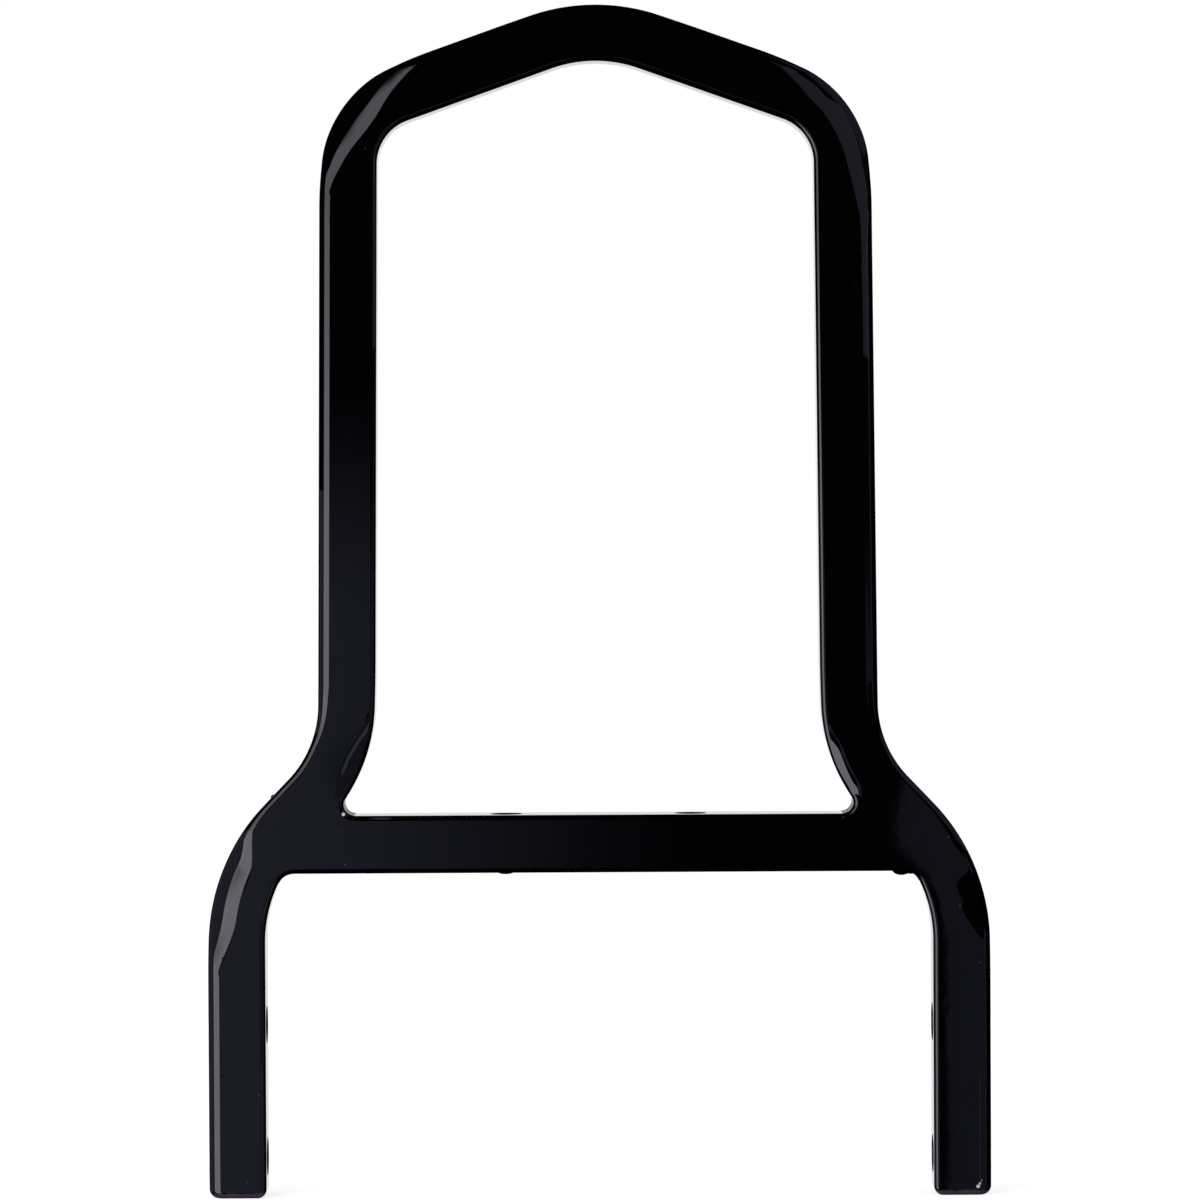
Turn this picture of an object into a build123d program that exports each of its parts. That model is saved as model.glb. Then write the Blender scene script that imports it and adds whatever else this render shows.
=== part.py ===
from build123d import *
import os
from math import ceil, cos, pi, radians, sqrt, tan
from typing import NamedTuple

# A one-hoop sissy bar: square steel bar, cold-bent into a hoop, with a cross bar welded in between its
# two jogs. Millimetres and degrees, +Z up, the front towards -Y, the origin midway between the feet.

# Bar stock
bar = 15.875                  # side of the square bar, 5/8 in
outside_round = 3.2           # long edges on the outside of the hoop
inside_round = 1.4            # long edges on the inside of the hoop, and of the cross bar
foot_round = 1.2              # edges around the sawn end of each leg

# Centre line of the hoop: sharp corners, then the radius each one is bent to
leg_pitch = 199.4             # between the two legs
arm_pitch_low = 138.2         # between the two arms, at their lower corner
arm_pitch_high = 135.3        # between the two arms, at the shoulders
jog_height = 104.6            # middle of the sloping run between leg and arm
jog_slant = 44.2              # of that run, from the vertical
shoulder_height = 298.4
peak_height = 322.4
leg_bend_radius = 45.7
arm_bend_radius = 37.4
shoulder_bend_radius = 20.6
peak_bend_radius = 43.6

# What cold bending does to the stretched side of the bar, by strain = half the bar / bend radius
draw_in = 0.55                # of the side, as a share of the bar, times strain squared
corner_spread = 0.9           # of its rounded corners across the face, as a share of the bar, times root strain
corner_drop = 0.54            # of its rounded corners through the depth, as a share of the bar, times strain
spread_limit = 0.78           # most of the bar's width that a spread corner takes
drop_limit = 0.46             # most of the bar's depth that a spread corner takes
run_out = 12.0                # length over which all this fades into the straights
station = 8.0                 # longest step between sections through a bend

# Cross bar and the welds around its ends
cross_bar_height = 97.25      # of its middle
root_gap = 0.6                # between its coped end and the hoop, filled by the weld
weld_recess = 0.8             # of the corner fillets behind the front and back faces
weld_clearance = 0.08         # of the bead's solid from the bent bar's skin
upper_fillet = 3.0            # weld radius in the window corner
lower_fillet = 4.6            # weld radius in the corner under the cross bar

# Bolt holes
leg_hole = 10.0               # sideways through each leg
leg_hole_height = 10.8        # of the lower one
leg_hole_pitch = 36.5
pad_hole = 8.4                # down through the cross bar
pad_hole_pitch = 50.8

quarter_pull = 0.5523         # of a cubic's inner points towards the corner, to follow a quarter round
half = bar / 2
beyond = 2 * bar              # cutters and blanks run this far past what they meet


class Bend(NamedTuple):
    start: float              # along the centre line
    end: float
    radius: float
    stretches_outside: bool   # or the inside of the hoop, at an arm bend


def hoop_corners():
    """Sharp corners of the centre line, from the right foot over the peak to the left foot."""
    rise = (leg_pitch - arm_pitch_low) / 2 / tan(radians(jog_slant))
    right = [
        Vector(leg_pitch / 2, 0, 0),
        Vector(leg_pitch / 2, 0, jog_height - rise / 2),
        Vector(arm_pitch_low / 2, 0, jog_height + rise / 2),
        Vector(arm_pitch_high / 2, 0, shoulder_height),
    ]
    left = [Vector(-point.X, 0, point.Z) for point in reversed(right)]
    return right + [Vector(0, 0, peak_height)] + left


def hoop_line():
    """The bent centre line as a wire, and its bends in order."""
    corners = hoop_corners()
    side = [leg_bend_radius, arm_bend_radius, shoulder_bend_radius]
    radii = side + [peak_bend_radius] + side[::-1]
    edges, bends, length = [], [], 0.0
    start = corners[0]
    for before, corner, after, radius in zip(corners, corners[1:], corners[2:], radii):
        into = (corner - before).normalized()
        away = (after - corner).normalized()
        setback = radius * tan(radians(into.get_angle(away)) / 2)
        run = Edge.make_line(start, corner - into * setback)
        start = corner + away * setback
        arc = Edge.make_tangent_arc(run @ 1, into, start)
        edges += [run, arc]
        length += run.length
        bends.append(Bend(length, length + arc.length, radius, into.cross(away).Y < 0))
        length += arc.length
    edges.append(Edge.make_line(start, corners[-1]))
    return Wire(edges), bends


line, bends = hoop_line()


def bend_share(bend, along):
    """0 on the straights, rising smoothly to 1 in the middle of the bend."""
    reach = (bend.end - bend.start) / 2 + run_out
    middle = (bend.start + bend.end) / 2
    nearness = max(0.0, 1 - abs(along - middle) / reach)
    return (1 - cos(pi * nearness)) / 2


def side_form(along, outside, edge_round):
    """How far one side of the bar lies from the centre line, and the width and depth of its corners."""
    reach, width, depth = half, edge_round, edge_round
    for bend in bends:
        if bend.stretches_outside == outside:
            strain = half / bend.radius
            share = bend_share(bend, along)
            reach -= draw_in * bar * strain**2 * share
            width += corner_spread * bar * sqrt(strain) * share
            depth += corner_drop * bar * strain * share
    return reach, min(width, spread_limit * bar), min(depth, drop_limit * bar)


def section_plane(along):
    """Plane across the bar: x points out of the hoop and y to the back."""
    tangent = line.tangent_at(along, PositionMode.LENGTH)
    outward = Vector(0, 1, 0).cross(tangent)
    return Plane(line.position_at(along, PositionMode.LENGTH), x_dir=outward, z_dir=tangent)


def corner_curve(start, corner, end):
    """Quarter ellipse from start to end, as the cubic that follows it, under the sharp corner."""
    start, corner, end = Vector(*start), Vector(*corner), Vector(*end)
    return Bezier(start, start + (corner - start) * quarter_pull, end + (corner - end) * quarter_pull, end)


def bar_section(along, clearance=0.0):
    """The rounded square of the bar, as bending leaves it at this point of the centre line."""
    reach_out, wide_out, deep_out = side_form(along, True, outside_round)
    reach_in, wide_in, deep_in = side_form(along, False, inside_round)
    reach_out, reach_in, face = reach_out + clearance, reach_in + clearance, half + clearance
    x_out, x_in = reach_out - wide_out, wide_in - reach_in
    y_out, y_in = face - deep_out, face - deep_in
    outline = [
        Line((reach_out, -y_out), (reach_out, y_out)),
        corner_curve((reach_out, y_out), (reach_out, face), (x_out, face)),
        Line((x_out, face), (x_in, face)),
        corner_curve((x_in, face), (-reach_in, face), (-reach_in, y_in)),
        Line((-reach_in, y_in), (-reach_in, -y_in)),
        corner_curve((-reach_in, -y_in), (-reach_in, -face), (x_in, -face)),
        Line((x_in, -face), (x_out, -face)),
        corner_curve((x_out, -face), (reach_out, -face), (reach_out, -y_out)),
    ]
    return section_plane(along) * make_face(outline)


def cope_section(along):
    """What the cross bar's end is cut back to: the bar's inner side, square-cornered, plus the root gap."""
    reach_out, _, _ = side_form(along, True, outside_round)
    reach_in, _, _ = side_form(along, False, inside_round)
    width = reach_out + reach_in + root_gap
    middle = (reach_out - reach_in - root_gap) / 2
    return section_plane(along) * Pos(middle, 0) * Rectangle(width, bar + beyond)


def bend_zones():
    """Stretches of the centre line where the section changes, with bends that run together as one."""
    zones = []
    for bend in bends:
        start, end = bend.start - run_out, bend.end + run_out
        if zones and start <= zones[-1][1]:
            start = zones.pop()[0]
        zones.append((start, end))
    return zones


def stations(start, end):
    """Places of the sections through a zone: at the ends of its arcs, and in even steps between them."""
    marks = [start] + [mark for bend in bends for mark in bend[:2] if start < mark < end] + [end]
    places = []
    for low, high in zip(marks, marks[1:]):
        steps = ceil((high - low) / station)
        places += [low + (high - low) * step / steps for step in range(steps)]
    return places + [end]


def bent_zone(section, zone):
    return loft([section(along) for along in stations(*zone)])


def make_hoop():
    """One skin over the legs, the bent zones and the straights between them, closed at the feet."""
    zones = bend_zones()
    leg = extrude(bar_section(0), amount=zones[0][0])
    leg = fillet(leg.faces().sort_by(Axis.Z)[0].edges(), foot_round)
    runs = [leg, mirror(leg, about=Plane.YZ)]
    runs += [bent_zone(bar_section, zone) for zone in zones]
    for zone, following in zip(zones, zones[1:]):
        runs.append(extrude(bar_section(zone[1]), amount=following[0] - zone[1]))
    joints = [section_plane(along).origin for zone in zones for along in zone]
    skin = [face for run in runs for face in run.faces() if not at_joint(face, joints)]
    body = Part() + Solid(Shell(skin))
    for side in (-1, 1):
        for height in (leg_hole_height, leg_hole_height + leg_hole_pitch):
            body -= Pos(side * leg_pitch / 2, 0, height) * Rot(Y=90) * Cylinder(leg_hole / 2, beyond)
    return body


def at_joint(face, joints):
    """Whether a face lies across the bar, where one run of it goes on into the next."""
    return any((face.center(CenterOf.BOUNDING_BOX) - point).length < half / 2 for point in joints)


def innermost(body):
    """The piece of a cut body that lies nearest to the middle of the hoop."""
    return body.solids().sort_by(lambda solid: abs(solid.center().X))[0]


def cross_bar_blank():
    """Straight bar from centre line to centre line of the legs, before its ends are coped."""
    square = fillet(Rectangle(bar, bar).vertices(), inside_round)
    return Pos(0, 0, cross_bar_height) * extrude(Plane.YZ * square, amount=leg_pitch / 2, both=True)


def make_cross_bar():
    cope = bent_zone(cope_section, bend_zones()[0])
    body = Part() + innermost(cross_bar_blank() - cope - mirror(cope, about=Plane.YZ))
    for side in (-1, 1):
        body -= Pos(side * pad_hole_pitch / 2, 0, cross_bar_height) * Cylinder(pad_hole / 2, beyond)
    return body


def bend_centre(bend):
    """Middle of a bend's arc circle."""
    towards = -1 if bend.stretches_outside else 1
    return section_plane(bend.start).from_local_coords((towards * bend.radius, 0, 0))


def weld_fillet(radius, level, bend, above):
    """Corner fill with a hollow face, between the cross bar's face at this level and a bend of the hoop."""
    side = 1 if above else -1
    middle = bend_centre(bend)
    thinned = draw_in * bar * (half / bend.radius) ** 2 if above else 0.0
    gap = bend.radius + side * (half + radius) - thinned
    height = level + side * radius
    across = sqrt(gap**2 - (height - middle.Z) ** 2)
    hollow = Vector(middle.X - side * across, 0, height)
    on_bar = Vector(hollow.X, 0, level)
    towards = (middle - hollow).normalized() * side
    on_hoop = hollow + towards * radius
    inside = on_hoop + towards * half
    corner = Vector(inside.X, 0, level - side * half)
    outline = Polyline(hollow, on_hoop, inside, corner, Vector(hollow.X, 0, corner.Z), close=True)
    depth = bar - 2 * weld_recess
    fill = extrude(make_face(outline), amount=depth / 2, dir=(0, 1, 0), both=True)
    return fill - Pos(*hollow) * Rot(X=90) * Cylinder(radius, beyond), on_bar


def make_right_weld(cross_bar):
    """Bead around the cross bar's right end: both corner fillets and the seam, dressed flush."""
    leg_bend, arm_bend = bends[:2]
    upper, upper_edge = weld_fillet(upper_fillet, cross_bar_height + half, arm_bend, True)
    lower, lower_edge = weld_fillet(lower_fillet, cross_bar_height - half, leg_bend, False)
    start = min(upper_edge.X, lower_edge.X)
    seam = cross_bar_blank() & Pos(start, 0, cross_bar_height) * Box(
        beyond * 2, beyond, beyond, align=(Align.MIN, Align.CENTER, Align.CENTER)
    )
    relief = bent_zone(lambda along: bar_section(along, weld_clearance), bend_zones()[0])
    return Part() + innermost(seam + upper + lower - relief - cross_bar)


hoop = make_hoop()
cross_bar = make_cross_bar()
right_weld = make_right_weld(cross_bar)
nodes = {
    "hoop": hoop,
    "cross_bar": cross_bar,
    "right_weld": right_weld,
    "left_weld": mirror(right_weld, about=Plane.YZ),
}

os.makedirs("parts", exist_ok=True)
for name, body in nodes.items():
    export_step(body, f"parts/{name}.step")
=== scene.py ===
import bpy
import bmesh
from math import atan2, ceil, cos, pi, radians, sin, sqrt, tan
from mathutils import Matrix, Quaternion, Vector


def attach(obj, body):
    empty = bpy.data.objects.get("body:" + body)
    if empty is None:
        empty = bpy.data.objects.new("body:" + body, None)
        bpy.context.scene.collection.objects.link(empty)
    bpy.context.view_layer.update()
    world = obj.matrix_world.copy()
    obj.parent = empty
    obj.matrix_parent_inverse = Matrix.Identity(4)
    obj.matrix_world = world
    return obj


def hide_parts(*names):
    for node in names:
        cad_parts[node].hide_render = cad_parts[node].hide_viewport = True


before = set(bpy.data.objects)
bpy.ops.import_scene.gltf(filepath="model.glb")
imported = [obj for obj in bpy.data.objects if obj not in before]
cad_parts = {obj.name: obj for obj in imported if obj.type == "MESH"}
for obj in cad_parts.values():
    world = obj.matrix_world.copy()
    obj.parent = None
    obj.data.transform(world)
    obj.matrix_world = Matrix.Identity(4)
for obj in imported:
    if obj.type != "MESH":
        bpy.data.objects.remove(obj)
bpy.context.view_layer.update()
scene = bpy.context.scene
mm = 0.001        # lengths below are in mm, unless they say otherwise
print("frame loaded:", ", ".join(sorted(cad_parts)))


def toLinear(hexColour):
    channels = [int(hexColour[i:i + 2], 16) / 255 for i in (1, 3, 5)]
    return [c / 12.92 if c <= 0.04045 else ((c + 0.055) / 1.055) ** 2.4 for c in channels] + [1.0]


# adds one node: settings are its properties, inputs are values or the sockets of other nodes
def addNode(tree, kind, inputs=None, **settings):
    node = tree.nodes.new(kind)
    for name, value in settings.items():
        setattr(node, name, value)
    for name, value in (inputs or {}).items():
        if isinstance(value, bpy.types.NodeSocket):
            tree.links.new(value, node.inputs[name])
        else:
            node.inputs[name].default_value = value
    return node


def addMath(tree, operation, *values):
    inputs = dict(enumerate(values))
    return addNode(tree, "ShaderNodeMath", inputs, operation=operation).outputs["Value"]


# smooth ramp: goes from one output to the other as the value goes from low to high
def addRamp(tree, value, low, high, atLow=0.0, atHigh=1.0):
    return addNode(tree, "ShaderNodeMapRange", {
        "Value": value, "From Min": low, "From Max": high, "To Min": atLow, "To Max": atHigh},
        interpolation_type="SMOOTHSTEP").outputs["Result"]


# noise whose blobs are about this size in mm
def addNoise(tree, spot, size, detail, roughness=0.5):
    return addNode(tree, "ShaderNodeTexNoise", {
        "Vector": spot, "Scale": 1000 / size, "Detail": detail, "Roughness": roughness}).outputs["Fac"]


def addMix(tree, share, under, over):
    inputs = {"Factor": share, 6: under, 7: over}
    return addNode(tree, "ShaderNodeMix", inputs, data_type="RGBA").outputs[2]


# the turn that points a camera or a lamp from its place at its aim
def turnTo(place, aim):
    return (Vector(aim) - Vector(place)).to_track_quat("-Z", "Y")


# camera

cameraView = {
    "place": (0.7, -1700, 205),   # mm
    "aim": (0.7, 0, 164),
    "rollDegrees": -0.29,         # the photo leans a little
    "lens": 185.2, "sensor": 36,
    "clipStart": 0.05,            # m
}


def placeCamera():
    view = cameraView
    camera = bpy.data.objects.new("camera", bpy.data.cameras.new("camera"))
    camera.data.lens = view["lens"]
    camera.data.sensor_width = view["sensor"]
    camera.data.clip_start = view["clipStart"]
    camera.location = Vector(view["place"]) * mm
    camera.rotation_mode = "QUATERNION"
    roll = Quaternion((0, 0, 1), radians(view["rollDegrees"]))
    camera.rotation_quaternion = turnTo(view["place"], view["aim"]) @ roll
    scene.collection.objects.link(camera)
    scene.camera = camera
    scene.view_settings.view_transform = "Standard"
    print("camera placed")


placeCamera()


# gloss coat on steel: baked black powder, which flows out to a deep gloss with a faint orange peel

coatLook = {
    "black": "#030304",
    "paintedFootSheen": "#4d424c",                         # painted reflection: the lighter band on the rubbed feet that stands in for the reflection in their bottom edge round
    "glintWhite": "#f4f4f6",                       # painted glints: the white of the pale spots that stand in for highlights
    "roughness": 0.012, "refraction": 1.5,
    "waveSize": 16.0, "waveHeight": 0.004,     # mm, the bar's own unevenness under the coat
    "peelSize": 2.6, "peelHeight": 0.0006,     # mm, the dimples of the orange peel
    "peelDetail": 1.0, "peelRoughness": 0.4,
    "nibSpacing": 7.0, "nibHeight": 0.05,      # mm, specks caught in the coat
    "nibRim": 0.06, "nibTop": 0.015,           # a speck's rim and flat top, in spacings
    "nibShare": 0.2,                           # of the cells have a speck
    "hazeSize": 35.0, "hazeDetail": 3.0,       # mm, patches left by wiping
    "hazeRange": (0.35, 0.75), "hazeGain": 1.7,
    "footBand": 1.6,                           # mm, at the sawn ends: rubbed rougher, and painted lighter as a reflection of the edge round
    "footGrain": 3.0, "footDetail": 3.0,       # mm, the band's ragged edge
    "footFade": (0.6, 0.1),                    # shares of the band where the rubbing begins and is full
    "rubbedRoughness": 0.4,
    # painted glints, pale spots on the front that stand in for glints and small highlights: x and height,
    # size, stretch across, and how pale
    "marks": (
        (-70.0, 105.7, 0.60, 1, 1.0), (103.8, 2.5, 0.62, 1, 1.0), (104.3, 3.3, 0.45, 1, 0.7),
        (104.8, 4.1, 0.30, 1, 0.3), (-93.6, 28.6, 0.30, 1, 0.07), (-97.0, 4.6, 0.30, 1, 0.07),
        (-69.7, 91.9, 0.30, 1, 0.08), (-70.6, 101.0, 0.26, 1, 0.03), (96.0, 98.7, 0.30, 1, 0.07),
        (99.1, 79.7, 0.30, 1, 0.07), (104.6, 64.1, 0.28, 1, 0.05), (-59.8, 104.5, 0.26, 15, 0.06),
    ),
    "glintCore": 0.5,                           # share of a painted glint's size that is full
    "glintDepth": 0.3,                          # depth counts less, so that a painted glint carries over an edge round
}


def makeCoat():
    look = coatLook
    coat = bpy.data.materials.new("blackGlossPowderCoat")
    coat.use_nodes = True
    tree = coat.node_tree
    shader = tree.nodes["Principled BSDF"]
    spot = addNode(tree, "ShaderNodeTexCoord").outputs["Object"]

    # nibs: here and there a speck under the coat
    cells = addNode(tree, "ShaderNodeTexVoronoi", {
        "Vector": spot, "Scale": 1000 / look["nibSpacing"], "Randomness": 1.0}, feature="F1")
    speck = addRamp(tree, cells.outputs["Distance"], look["nibRim"], look["nibTop"])
    pick = addNode(tree, "ShaderNodeSeparateColor", {"Color": cells.outputs["Color"]}).outputs["Red"]
    nib = addMath(tree, "MULTIPLY", speck, addMath(tree, "LESS_THAN", pick, look["nibShare"]))

    # relief: the bar's waves, the orange peel on them, and the nibs on both
    wave = addNoise(tree, spot, look["waveSize"], 0.0)
    peel = addNoise(tree, spot, look["peelSize"], look["peelDetail"], look["peelRoughness"])
    relief = {}
    for form, tall in ((wave, "waveHeight"), (peel, "peelHeight"), (nib, "nibHeight")):
        bump = addNode(tree, "ShaderNodeBump", {
            "Height": form, "Strength": 1.0, "Distance": look[tall] * mm, **relief})
        relief = {"Normal": bump.outputs["Normal"]}

    # a little more haze in patches
    haze = addNoise(tree, spot, look["hazeSize"], look["hazeDetail"])
    clear, hazy = look["hazeRange"]
    gloss = addNode(tree, "ShaderNodeMapRange", {
        "Value": haze, "From Min": clear, "From Max": hazy,
        "To Min": look["roughness"], "To Max": look["roughness"] * look["hazeGain"]}).outputs["Result"]

    # feet: rubbed coat, which is rougher, and a painted reflection, a lighter band that stands in for the
    # reflection in the bottom edge round
    band = look["footBand"] * mm
    begin, full = look["footFade"]
    height = addNode(tree, "ShaderNodeSeparateXYZ", {"Vector": spot}).outputs["Z"]
    ragged = addNoise(tree, spot, look["footGrain"], look["footDetail"])
    edge = addMath(tree, "MULTIPLY_ADD", ragged, -band, height)
    rubbedAndSheen = addRamp(tree, edge, band * begin, band * full)
    footWithSheen = addMix(tree, rubbedAndSheen, toLinear(look["black"]), toLinear(look["paintedFootSheen"]))

    # painted glints: small pale spots on the front face that stand in for highlights
    paintedGlints = 0.0
    for x, z, size, stretch, pale in look["marks"]:
        centre = Vector((x, -half, z)) * mm
        squeeze = Vector((1 / stretch, look["glintDepth"], 1))
        offset = addNode(tree, "ShaderNodeVectorMath", {
            0: spot, 1: squeeze, 2: -centre * squeeze}, operation="MULTIPLY_ADD").outputs["Vector"]
        reach = addNode(tree, "ShaderNodeVectorMath", {0: offset}, operation="LENGTH").outputs["Value"]
        mark = addRamp(tree, reach, size * mm, size * mm * look["glintCore"], 0.0, pale)
        paintedGlints = addMath(tree, "MAXIMUM", paintedGlints, mark)
    colour = addMix(tree, paintedGlints, footWithSheen, toLinear(look["glintWhite"]))
    roughness = addMath(tree, "MULTIPLY_ADD", rubbedAndSheen, look["rubbedRoughness"], gloss)

    shader.inputs["IOR"].default_value = look["refraction"]
    tree.links.new(colour, shader.inputs["Base Color"])
    tree.links.new(roughness, shader.inputs["Roughness"])
    tree.links.new(relief["Normal"], shader.inputs["Normal"])
    print("coat mixed")
    return coat


# shaping: what the pieces share

shaping = {
    "mergeDistance": 0.002,                    # mm
    "normalWeight": 60,
    "lumpCuts": 3,
    "lipCuts": 5, "boreCuts": 40,
    "boreOverrun": 4.0, "boreMerge": 0.001,    # mm
}


# smooths a shape between its sharp edges, coats it and puts it in its node's place
def finishPiece(name, shape, node, sharpDegrees):
    bmesh.ops.remove_doubles(shape, verts=shape.verts, dist=shaping["mergeDistance"] * mm)
    bmesh.ops.recalc_face_normals(shape, faces=shape.faces)
    mesh = bpy.data.meshes.new(name)
    shape.to_mesh(mesh)
    shape.free()
    for face in mesh.polygons:
        face.use_smooth = True
    mesh.set_sharp_from_angle(angle=radians(sharpDegrees))
    mesh.materials.append(coat)
    piece = bpy.data.objects.new(name, mesh)
    scene.collection.objects.link(piece)
    evenNormals = piece.modifiers.new("evenNormals", "WEIGHTED_NORMAL")
    evenNormals.mode = "FACE_AREA_WITH_ANGLE"
    evenNormals.weight = shaping["normalWeight"]
    evenNormals.keep_sharp = True
    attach(piece, "root")
    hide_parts(node)
    print(name, "made,", len(mesh.polygons), "faces")


def ringEdges(shape, ring):
    return [shape.edges.get((ring[i - 1], ring[i])) for i in range(len(ring))]


# skins a ring of verts from stop to stop and closes both ends; settle puts a ring's verts in place
def skinOver(shape, ring, stops, settle):
    first = ring
    settle(ring, stops[0])
    for stop in stops[1:]:
        grown = bmesh.ops.extrude_edge_only(shape, edges=ringEdges(shape, ring))["geom"]
        fresh = {v for v in grown if isinstance(v, bmesh.types.BMVert)}
        ring = [next(e.other_vert(v) for e in v.link_edges if e.other_vert(v) in fresh) for v in ring]
        settle(ring, stop)
    for end in (first, ring):
        bmesh.ops.contextual_create(shape, geom=ringEdges(shape, end))


# round cutter along local z with flared lips, so that the cut edge is eased as a coated edge is
def boreCutter(radius, lip, place, turn):
    past = half + shaping["boreOverrun"]
    side = []
    for step in range(shaping["lipCuts"] + 1):
        angle = pi / 2 * step / shaping["lipCuts"]
        side.append(Vector((radius + lip * (1 - cos(angle)), 0, half - lip + lip * sin(angle))))
    side += [Vector((radius + lip, 0, past)), Vector((0, 0, past))]
    profile = [Vector((p.x, 0, -p.z)) for p in reversed(side)] + side
    cutter = bmesh.new()
    verts = [cutter.verts.new(p * mm) for p in profile]
    edges = [cutter.edges.new(pair) for pair in zip(verts, verts[1:])]
    bmesh.ops.spin(cutter, geom=verts + edges, cent=(0, 0, 0), axis=(0, 0, 1), angle=2 * pi,
                   steps=shaping["boreCuts"], use_merge=True)
    bmesh.ops.remove_doubles(cutter, verts=cutter.verts, dist=shaping["boreMerge"] * mm)
    move = Matrix.Translation(Vector(place) * mm) @ turn
    bmesh.ops.transform(cutter, matrix=move, verts=cutter.verts)
    return cutter


# hands a shape over to a mesh
def asMesh(shape):
    mesh = bpy.data.meshes.new("helper")
    shape.to_mesh(mesh)
    shape.free()
    return mesh


# takes cutters away from a shape and hands back the result
def cutAway(shape, cutters):
    whole = bmesh.new()
    for cutter in cutters:
        mesh = asMesh(cutter)
        whole.from_mesh(mesh)
        bpy.data.meshes.remove(mesh)
    helpers = []
    for body in (shape, whole):
        bmesh.ops.recalc_face_normals(body, faces=body.faces)
        helpers.append(bpy.data.objects.new("helper", asMesh(body)))
        scene.collection.objects.link(helpers[-1])
    cut = helpers[0].modifiers.new("cut", "BOOLEAN")
    cut.operation = "DIFFERENCE"
    cut.solver = "EXACT"
    cut.object = helpers[1]
    seen = helpers[0].evaluated_get(bpy.context.evaluated_depsgraph_get())
    result = bmesh.new()
    result.from_mesh(seen.to_mesh())
    for helper in helpers:
        mesh = helper.data
        bpy.data.objects.remove(helper)
        bpy.data.meshes.remove(mesh)
    return result


# adds a lump of weld, or of run or spattered coat: middle and half sizes in mm
def addLump(shape, middle, reach):
    bmesh.ops.create_icosphere(
        shape, subdivisions=shaping["lumpCuts"], radius=1.0,
        matrix=Matrix.LocRotScale(Vector(middle) * mm, None, Vector(reach) * mm))


# hoop: one square bar, bent cold; each bend thins the stretched side and rolls its corners over

hoopBar = {
    "bar": 15.875,
    "outsideRound": 3.2, "insideRound": 1.4,
    "footRound": 2.6, "footFaceRound": 1.6, "footCuts": 10,
    "legPitch": 199.4, "armPitchLow": 138.2, "armPitchHigh": 135.3,
    "jogHeight": 104.6, "jogSlant": 44.2,
    "shoulderHeight": 298.4, "peakHeight": 322.4,
    "bendRadii": (45.7, 37.4, 20.6, 43.6),     # leg, arm, shoulder, peak
    # the stretched side is drawn in by its strain, fading out this far past a bend
    "drawIn": 0.55, "runOut": 12.0,
    # rolled-over corners of the stretched side, from the right leg over the peak to the left leg:
    # width, drop, edge round and fullness, then how far before the bend the roll starts and how far
    # into it the roll is full, and the same at the bend's other end
    "rolls": (
        (6.2, 1.4, 3.0, 2.0, (1, 10), (-10, 20)),
        (3.0, 0.8, 1.4, 1.4, (-3, 8), (-4, 12)),
        (7.6, 3.8, 2.0, 2.0, (26, 10), (8, 8)),
        (7.0, 1.6, 2.2, 2.0, (6, 8), (6, 8)),
        (10.4, 6.0, 1.6, 2.0, (10, 12), (10, 12)),
        (4.0, 1.3, 2.2, 1.4, (-1, 14), (-2, 12)),
        (7.4, 3.2, 2.8, 2.0, (-4, 16), (10, 6)),
    ),
    "rollWidthPower": 0.7, "rollDropPower": 1.2,   # a roll first widens, then sinks
    "plainFullness": 2.0, "fullnessHaste": 4,
    "leastWidth": 1.0, "leastEdge": 0.15,
    "backRoll": 0.45,                          # share of each drop on the unseen back
    # edge round on the outside of the jog, where the bar is squeezed
    "pinchedEdge": 1.7, "pinchFade": 20.0,
    "step": 0.8, "straightStep": 8.0,          # between rings in and near a bend, and on a straight
    "nearBend": 14.0,
    "rollCuts": 8, "edgeCuts": 6,
    "legHole": 10.0, "legHoleHeights": (10.8, 47.3), "holeLip": 0.5,
    "spatter": ((-89.4, -3.0, 110.2), (0.8, 1.0, 0.8)),
    "sharpDegrees": 40,
}
half = hoopBar["bar"] / 2
coat = makeCoat()


# the bent centre line: straight runs and arcs, from the right foot over the peak to the left foot
def bendLine():
    bar = hoopBar
    leg, armLow, armHigh = bar["legPitch"] / 2, bar["armPitchLow"] / 2, bar["armPitchHigh"] / 2
    rise = (leg - armLow) / tan(radians(bar["jogSlant"]))
    right = [(leg, 0), (leg, bar["jogHeight"] - rise / 2), (armLow, bar["jogHeight"] + rise / 2),
             (armHigh, bar["shoulderHeight"])]
    corners = right + [(0, bar["peakHeight"])] + [(-x, z) for x, z in reversed(right)]
    corners = [Vector((x, 0, z)) for x, z in corners]
    radii = bar["bendRadii"] + bar["bendRadii"][-2::-1]
    runs, start, length = [], corners[0], 0.0
    for order, radius in enumerate(radii):
        before, corner, after = corners[order:order + 3]
        into, away = (corner - before).normalized(), (after - corner).normalized()
        turn = into.angle(away)
        setback = radius * tan(turn / 2)
        arcStart = corner - into * setback
        straight = (arcStart - start).length
        runs.append({"from": length, "to": length + straight, "start": start, "into": into,
                     "radius": 0.0})
        length += straight
        outside = into.cross(away).y < 0       # turns towards the window, so the outside is stretched
        runs.append({"from": length, "to": length + radius * turn, "start": arcStart, "into": into,
                     "radius": radius, "outside": outside, "order": order})
        length += radius * turn
        start = corner + away * setback
    last = corners[-1] - start
    runs.append({"from": length, "to": length + last.length, "start": start,
                 "into": last.normalized(), "radius": 0.0})
    return runs


runs = bendLine()
lineLength = runs[-1]["to"]
bends = [run for run in runs if run["radius"]]


# sideways out of the hoop, square to the bar's heading
def outwardOf(heading):
    return Vector((0, 1, 0)).cross(heading)


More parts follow.
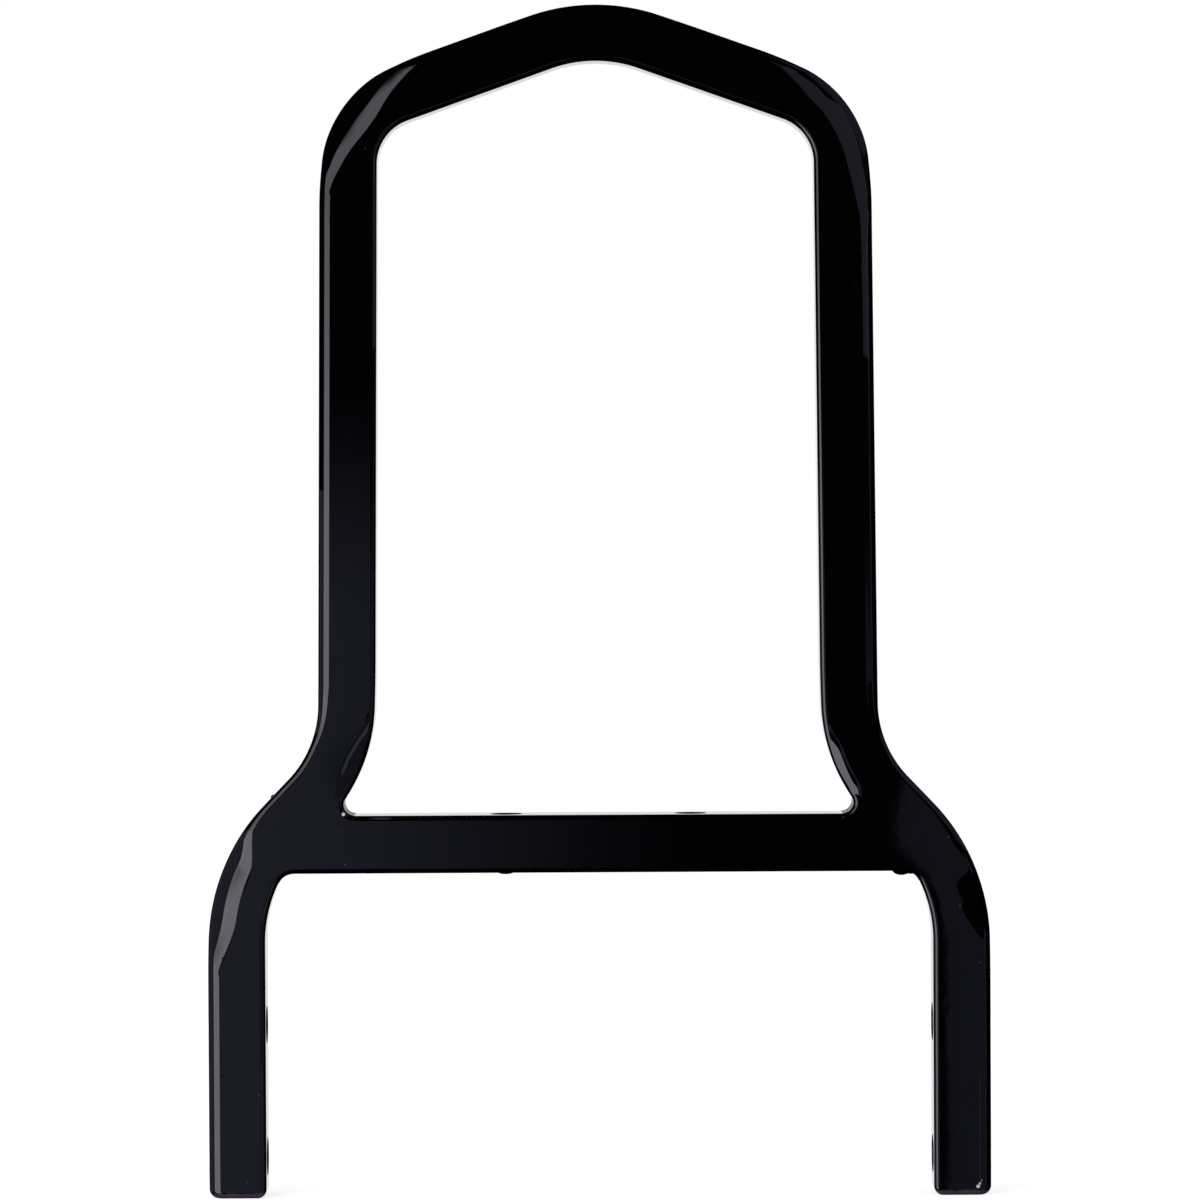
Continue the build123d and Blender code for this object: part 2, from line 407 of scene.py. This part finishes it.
# place and heading on the centre line
def onLine(along):
    run = next((r for r in runs if along <= r["to"]), runs[-1])
    into, radius, past = run["into"], run["radius"], along - run["from"]
    if not radius:
        return run["start"] + into * past, into
    inward = outwardOf(into) * (-1 if run["outside"] else 1)    # to the middle of the bend
    angle = past / radius
    middle = run["start"] + inward * radius
    place = middle + (into * sin(angle) - inward * cos(angle)) * radius
    return place, into * cos(angle) + inward * sin(angle)


# one side of the bar: its distance from the centre line, and the roll and edge round of its corners
def sideForm(along, outside):
    bar = hoopBar
    reach, width, drop, fullness = half, 0.0, 0.0, bar["plainFullness"]
    edge = bar["outsideRound"] if outside else bar["insideRound"]
    for bend in bends:
        middle = (bend["from"] + bend["to"]) / 2
        if bend["outside"] == outside:
            strain = half / bend["radius"]
            span = (bend["to"] - bend["from"]) / 2 + bar["runOut"]
            near = max(0.0, 1 - abs(along - middle) / span)
            reach -= bar["drawIn"] * bar["bar"] * strain ** 2 * (1 - cos(pi * near)) / 2
            wide, deep, rounded, full, before, after = bar["rolls"][bend["order"]]
            ramps = [(inside + start) / (start + reached) for inside, (start, reached) in (
                (along - bend["from"], before), (bend["to"] - along, after))]
            roll = min(1.0, max(0.0, min(ramps)))
            roll = roll * roll * (3 - 2 * roll)
            width += wide * roll ** bar["rollWidthPower"]
            drop += deep * roll ** bar["rollDropPower"]
            edge += (rounded - edge) * roll
            fullness += (full - fullness) * min(1.0, roll * bar["fullnessHaste"])
        elif bend["order"] in (1, len(bends) - 2):      # the arms' bends
            jogEnd = bends[0]["to"] if bend["order"] == 1 else bends[-1]["from"]
            low, high = sorted((middle, jogEnd))
            away = max(low - along, along - high, 0.0)
            edge += (bar["pinchedEdge"] - edge) * max(0.0, 1 - away / bar["pinchFade"])
    return reach, max(width, bar["leastWidth"]), drop, edge, fullness


# how much a round of this radius at the sawn end takes off here
def footEase(along, radius):
    short = radius - min(along, lineLength - along)
    return radius - sqrt(radius ** 2 - short ** 2) if short > 0 else 0.0


# one corner of the bar, from its face over the roll to its side: x from the centre line, y from mid depth
def cornerPoints(along, side, share):
    bar = hoopBar
    faceEase = footEase(along, bar["footFaceRound"])
    reach, width, drop, edge, fullness = sideForm(along, side > 0)
    reach -= footEase(along, bar["footRound"])
    drop *= share
    edge = max(bar["leastEdge"], edge - faceEase)
    lean = atan2(fullness * drop, width)       # tilt where the roll ends and the edge round begins
    startX, face = reach - width - edge * (1 - sin(lean)), half - faceEase
    points = []
    for step in range(bar["rollCuts"]):
        part = step / bar["rollCuts"]
        points.append((side * (startX + width * part), face - drop * part ** fullness))
    for step in range(bar["edgeCuts"] + 1):
        tilt = lean + (pi / 2 - lean) * step / bar["edgeCuts"]
        points.append((side * (startX + width + edge * (sin(tilt) - sin(lean))),
                       face - drop - edge * (cos(lean) - cos(tilt))))
    return points


# the ring of the bar's skin at one place: round the back from outside to inside, then the front
def ringPoints(along):
    back = hoopBar["backRoll"]
    ring = cornerPoints(along, 1, back)[::-1] + cornerPoints(along, -1, back)
    front = cornerPoints(along, -1, 1.0)[::-1] + cornerPoints(along, 1, 1.0)
    ring += [(x, -y) for x, y in front]
    place, heading = onLine(along)
    outward = outwardOf(heading)
    return [place + outward * x + Vector((0, y, 0)) for x, y in ring]


# where the rings sit on the centre line: close together in and near the bends
def ringPlaces():
    near = hoopBar["nearBend"]
    limits = [0.0, lineLength]
    for bend in bends:
        limits += [bend["from"] - near, bend["from"], bend["to"], bend["to"] + near]
    limits = sorted(min(max(m, 0.0), lineLength) for m in limits)
    places = []
    for low, high in zip(limits, limits[1:]):
        middle = (low + high) / 2
        bent = any(b["from"] - near < middle < b["to"] + near for b in bends)
        steps = max(1, ceil((high - low) / hoopBar["step" if bent else "straightStep"]))
        places += [low + (high - low) * i / steps for i in range(steps)]
    return sorted(set(round(p, 4) for p in places + [lineLength]))


def makeHoop():
    bar = hoopBar
    foot, cuts = bar["footRound"], bar["footCuts"]
    eased = [foot * (1 - cos(pi / 2 * i / cuts)) for i in range(cuts)]
    stops = eased + [p for p in ringPlaces() if foot <= p <= lineLength - foot]
    stops += [lineLength - p for p in reversed(eased)]

    def settle(ring, along):
        for vert, point in zip(ring, ringPoints(along)):
            vert.co = point * mm

    shape = bmesh.new()
    count = len(ringPoints(0.0))
    ring = bmesh.ops.create_circle(shape, cap_ends=False, segments=count, radius=half * mm)["verts"]
    skinOver(shape, ring, stops, settle)
    sideways = Matrix.Rotation(pi / 2, 4, "Y")
    shape = cutAway(shape, [
        boreCutter(bar["legHole"] / 2, bar["holeLip"], (side * bar["legPitch"] / 2, 0, height), sideways)
        for side in (-1, 1) for height in bar["legHoleHeights"]])
    addLump(shape, *bar["spatter"])
    finishPiece("bentHoop", shape, "hoop", bar["sharpDegrees"])


makeHoop()


# cross bar: the same square bar, its ends cut to the slant of the jogs

crossBar = {
    "blank": 220,                              # length before its ends are cut
    "height": 97.25, "edgeRound": 1.4, "edgeCuts": 6,
    "endMiddle": 81.0, "endSlant": 44.2,       # where its end meets the jog at mid height
    "cutTolerance": 0.0001,
    "padHole": 8.4, "padHolePitch": 50.8, "holeLip": 0.4,
    "drip": ((-25.6, -4.4, 89.4), (2.2, 1.4, 0.6)),   # hangs from the left hole's mouth
    "sharpDegrees": 40,
}


def makeCrossBar():
    bar, thick = crossBar, hoopBar["bar"]
    shape = bmesh.new()
    bmesh.ops.create_cube(shape, size=1.0)
    bmesh.ops.scale(shape, vec=Vector((bar["blank"], thick, thick)) * mm, verts=shape.verts)
    bmesh.ops.translate(shape, vec=Vector((0, 0, bar["height"])) * mm, verts=shape.verts)
    lengthwise = [e for e in shape.edges if e.calc_length() > 2 * thick * mm]
    bmesh.ops.bevel(shape, geom=lengthwise, offset=bar["edgeRound"] * mm, offset_type="OFFSET",
                    affect="EDGES", segments=bar["edgeCuts"], profile=0.5, material=-1)
    slant = radians(bar["endSlant"])
    for side in (-1, 1):
        away = Vector((side * cos(slant), 0, sin(slant)))
        at = Vector((side * bar["endMiddle"], 0, bar["height"])) * mm
        cut = bmesh.ops.bisect_plane(
            shape, geom=shape.verts[:] + shape.edges[:] + shape.faces[:],
            dist=bar["cutTolerance"] * mm, plane_co=at, plane_no=away, clear_outer=True)["geom_cut"]
        rim = [g for g in cut if isinstance(g, bmesh.types.BMEdge)]
        bmesh.ops.contextual_create(shape, geom=rim)
    upright = Matrix.Identity(4)
    shape = cutAway(shape, [
        boreCutter(bar["padHole"] / 2, bar["holeLip"],
                   (side * bar["padHolePitch"] / 2, 0, bar["height"]), upright)
        for side in (-1, 1)])
    addLump(shape, *bar["drip"])
    finishPiece("crossBar", shape, "cross_bar", bar["sharpDegrees"])


makeCrossBar()


# welds: a bead round each end of the cross bar, filled in both corners and dressed flush on the faces

welds = {
    "upperRound": 3.0, "lowerRound": 4.6,      # hollows of the corner fills
    # how far the bead laps into the hoop and the cross bar, and how far from its hollows' ends
    "intoHoop": 4.0, "hoopSink": 1.0,
    "upperLap": 0.9, "lowerLap": 1.8, "barSink": 2.2,
    "proud": 0.02, "edgeRound": 1.3, "edgeCuts": 4,
    "rippleHeight": 0.12, "ripplePitch": 1.9,
    "arcCuts": 10, "beadCuts": 36,
    # left at the lower end of the right bead, and run into its corner
    "nubs": (((83.2, -4.9, 89.75), (2.7, 1.5, 1.7)), ((86.0, -4.9, 89.75), (3.2, 1.5, 1.4))),
    "sharpDegrees": 50,
}


# hollow between the cross bar's face at this level and a bend of the hoop: its middle and its two ends
def cornerHollow(radius, level, bend, above):
    side = 1 if above else -1
    start, heading = onLine(bend["from"])
    middle = start + outwardOf(heading) * bend["radius"] * (-1 if bend["outside"] else 1)
    thinned = hoopBar["drawIn"] * hoopBar["bar"] * (half / bend["radius"]) ** 2 if above else 0.0
    gap = bend["radius"] + side * (half + radius) - thinned
    height = level + side * radius
    hollow = Vector((middle.x - side * sqrt(gap ** 2 - (height - middle.z) ** 2), 0, height))
    onHoop = hollow + (middle - hollow).normalized() * side * radius
    return hollow, onHoop, Vector((hollow.x, 0, level))


# outline of the right bead seen from the front: two hollows, joined inside the bars, as verts that
# each go with the middle of their hollow, if they are on one
def weldOutline(shape):
    look = welds
    legBend, armBend = bends[:2]
    level = crossBar["height"]
    upper, upperHoop, upperBar = cornerHollow(look["upperRound"], level + half, armBend, True)
    lower, lowerHoop, lowerBar = cornerHollow(look["lowerRound"], level - half, legBend, False)

    def sweep(centre, begin, end):
        a, b = begin - centre, end - centre
        turn = atan2(a.z * b.x - a.x * b.z, a.dot(b))
        first = shape.verts.new(begin * mm)
        bmesh.ops.spin(shape, geom=[first], cent=centre * mm, axis=(0, 1, 0), angle=turn,
                       steps=look["arcCuts"])
        arc = list(shape.verts)[-look["arcCuts"] - 1:]
        arc.sort(key=lambda v: (v.co - begin * mm).length)
        return [(vert, centre) for vert in arc]

    def lone(point, x, z):
        return [(shape.verts.new((point + Vector((x, 0, z))) * mm), None)]

    outline = sweep(upper, upperHoop, upperBar)
    outline += lone(upperBar, -look["upperLap"], -look["barSink"])
    outline += lone(lowerBar, -look["lowerLap"], look["barSink"])
    outline += sweep(lower, lowerBar, lowerHoop)
    outline += lone(lowerHoop, look["intoHoop"], look["hoopSink"])
    outline += lone(upperHoop, look["intoHoop"], -look["hoopSink"])
    for edge in list(shape.edges):
        shape.edges.remove(edge)
    return outline


# rings of a bead from the front to the back, as depth and inset: eased edge, ripples, eased edge
def weldStops(deep):
    look = welds
    ease, cuts = look["edgeRound"], look["edgeCuts"]
    eased = []
    for i in range(cuts + 1):
        angle = pi / 2 * i / cuts
        eased.append((ease * (1 - cos(angle)), ease * (1 - sin(angle))))
    ripples = []
    for i in range(1, look["beadCuts"]):
        run = (deep - 2 * ease) * i / look["beadCuts"]
        swell = 0.5 - 0.5 * cos(2 * pi * run / look["ripplePitch"])
        ripples.append((ease + run, -look["rippleHeight"] * swell))
    return eased + ripples + [(deep - down, inset) for down, inset in reversed(eased)]


def makeWeld(name, node, mirrored):
    face = half + welds["proud"]
    shape = bmesh.new()
    outline = weldOutline(shape)
    ring = [vert for vert, centre in outline]
    homes = [(vert.co.copy(), centre) for vert, centre in outline]

    def settle(verts, stop):
        down, inset = stop
        for vert, (home, centre) in zip(verts, homes):
            vert.co = home
            if centre is not None:
                vert.co += (home - centre * mm).normalized() * inset * mm
            vert.co.y = (down - face) * mm

    for i in range(len(ring)):
        shape.edges.new((ring[i - 1], ring[i]))
    skinOver(shape, ring, weldStops(2 * face), settle)
    if mirrored:
        bmesh.ops.scale(shape, vec=(-1, 1, 1), verts=shape.verts)
    else:
        for nub in welds["nubs"]:
            addLump(shape, *nub)
    finishPiece(name, shape, node, welds["sharpDegrees"])


makeWeld("rightWeld", "right_weld", False)
makeWeld("leftWeld", "left_weld", True)


# stage: pale floor, studio lights and a white room that is dark on the camera's side

stage = {
    "floorSize": 6.0, "floorColour": "#e9e9e8", "floorRoughness": 0.9, "floorGlow": 0.72,
    # lamps: place and aim in m, width and height in m, radiance, colour
    "lamps": (
        ("leftSoftbox", (-0.72, -0.78, 0.40), (0, 0, 0.40), (0.80, 1.70), 3.0, "#f2f1ff"),
        ("rightFill", (0.33, -0.25, 0.415), (0.07, 0, 0.30), (0.40, 0.37), 0.36, "#d8d8ff"),
        ("lowRightCard", (0.26, -0.82, -0.12), (-0.07, 0, 0.13), (0.16, 0.14), 0.60, "#d8d8ff"),
        ("lowLeftCard", (-0.34, -0.02, 0.05), (0, -0.02, 0.05), (0.32, 0.29), 0.34, "#dcdcff"),
    ),
    # the softbox is dimmer higher up: between two heights in m its share goes from one value to the next
    "softboxFalls": ((0.15, 0.36, 1.14, 0.68), (0.80, 1.20, 1.0, 0.08)),
    "ambient": 0.35,
    # how straight back a reflection looks where the backdrop begins to show in it, and where it is full
    "backdropZone": (0.93, 0.99),
    # dim walls that the gloss shows: each has upright edges, as a lean and the bearings in degrees from
    # the camera's line (right is plus) where it begins and is full, then the heights in degrees where it
    # begins, is full, is still full and ends, and its level
    "walls": (
        (((0.0, 1.2, -3.6), (0.0, -24, -19)), (-14, -10, -1.8, 0.8), 0.41),
        (((0.0, 3.19, 3.23), (0.0, 76, 70)), (-32, -24, -2.0, -0.2), 0.205),
        (((1.0, -0.98, -0.86), (-0.2, 3.38, 3.48), (0.0, 76, 70)), (-32, -24, -2.0, -0.2), 0.205),
        (((0.0, 56, 60), (0.0, 76, 72)), (-14, -10, 5, 8), 0.27),
        (((0.0, 74, 84), (0.0, 130, 118)), (12, 20, 62, 72), 0.24),
    ),
    "wallTint": "#d2d9ff",
}
white = (1, 1, 1, 1)


def makeFloor():
    shape = bmesh.new()
    bmesh.ops.create_grid(shape, x_segments=2, y_segments=2, size=stage["floorSize"] / 2)
    mesh = bpy.data.meshes.new("floor")
    shape.to_mesh(mesh)
    shape.free()
    floor = bpy.data.objects.new("floor", mesh)
    scene.collection.objects.link(floor)
    floor.visible_glossy = False

    # matt paper, lit up towards white for the camera alone
    paper = bpy.data.materials.new("floorPaper")
    paper.use_nodes = True
    tree = paper.node_tree
    shader = tree.nodes["Principled BSDF"]
    shader.inputs["Base Color"].default_value = toLinear(stage["floorColour"])
    shader.inputs["Roughness"].default_value = stage["floorRoughness"]
    shader.inputs["Specular IOR Level"].default_value = 0.0
    shader.inputs["Emission Color"].default_value = white
    byCamera = addNode(tree, "ShaderNodeLightPath").outputs["Is Camera Ray"]
    glow = addMath(tree, "MULTIPLY", byCamera, stage["floorGlow"])
    tree.links.new(glow, shader.inputs["Emission Strength"])
    mesh.materials.append(paper)


def makeLamps():
    for name, place, aim, (width, tall), radiance, tint in stage["lamps"]:
        lamp = bpy.data.lights.new(name, "AREA")
        lamp.shape = "RECTANGLE"
        lamp.size, lamp.size_y = width, tall
        lamp.energy = radiance * pi * width * tall
        lamp.color = toLinear(tint)[:3]
        holder = bpy.data.objects.new(name, lamp)
        holder.location = place
        holder.rotation_mode = "QUATERNION"
        holder.rotation_quaternion = turnTo(place, aim)
        scene.collection.objects.link(holder)

    softbox = bpy.data.lights["leftSoftbox"]
    softbox.use_nodes = True
    tree = softbox.node_tree
    spot = addNode(tree, "ShaderNodeNewGeometry").outputs["Position"]
    height = addNode(tree, "ShaderNodeSeparateXYZ", {"Vector": spot}).outputs["Z"]
    share = 1.0
    for fall in stage["softboxFalls"]:
        share = addMath(tree, "MULTIPLY", addRamp(tree, height, *fall), share)
    tree.links.new(share, tree.nodes["Emission"].inputs["Strength"])


def makeRoom():
    room = bpy.data.worlds.new("studioRoom")
    room.use_nodes = True
    tree = room.node_tree
    path = addNode(tree, "ShaderNodeLightPath").outputs
    facing = addNode(tree, "ShaderNodeTexCoord").outputs["Generated"]
    part = addNode(tree, "ShaderNodeSeparateXYZ", {"Vector": facing}).outputs
    bearing = addMath(tree, "ARCTAN2", part["X"], addMath(tree, "MULTIPLY", part["Y"], -1.0))
    height = addMath(tree, "ARCSINE", part["Z"])

    # the white backdrop behind the object, also in its reflections
    backdrop = addRamp(tree, part["Y"], *stage["backdropZone"])
    seen = addMath(tree, "MAXIMUM", path["Is Camera Ray"], path["Is Transmission Ray"])
    mirrored = addMath(tree, "MULTIPLY_ADD", path["Is Glossy Ray"], backdrop, seen)
    level = addMath(tree, "MULTIPLY_ADD", path["Is Diffuse Ray"], stage["ambient"], mirrored)
    paleSide = tree.nodes["Background"]
    paleSide.inputs["Color"].default_value = white
    tree.links.new(level, paleSide.inputs["Strength"])

    # dim walls on the camera's side, only for the gloss
    brightest = 0.0
    for uprights, (foot, low, high, top), strength in stage["walls"]:
        limits = [(height, foot, low), (height, top, high)]
        for lean, begin, full in uprights:
            limits.append((addMath(tree, "MULTIPLY_ADD", height, lean, bearing), begin, full))
        wall = strength
        for value, begin, full in limits:
            ramp = addRamp(tree, value, radians(begin), radians(full))
            wall = addMath(tree, "MULTIPLY", ramp, wall)
        brightest = addMath(tree, "MAXIMUM", brightest, wall)
    gloss = addMath(tree, "MULTIPLY", brightest, path["Is Glossy Ray"])
    dimSide = addNode(tree, "ShaderNodeBackground", {
        "Color": toLinear(stage["wallTint"]), "Strength": gloss})
    both = addNode(tree, "ShaderNodeAddShader", {
        0: paleSide.outputs["Background"], 1: dimSide.outputs["Background"]})
    tree.links.new(both.outputs["Shader"], tree.nodes["World Output"].inputs["Surface"])
    scene.world = room


makeFloor()
makeLamps()
makeRoom()
print("stage set,", len(stage["lamps"]), "lamps")
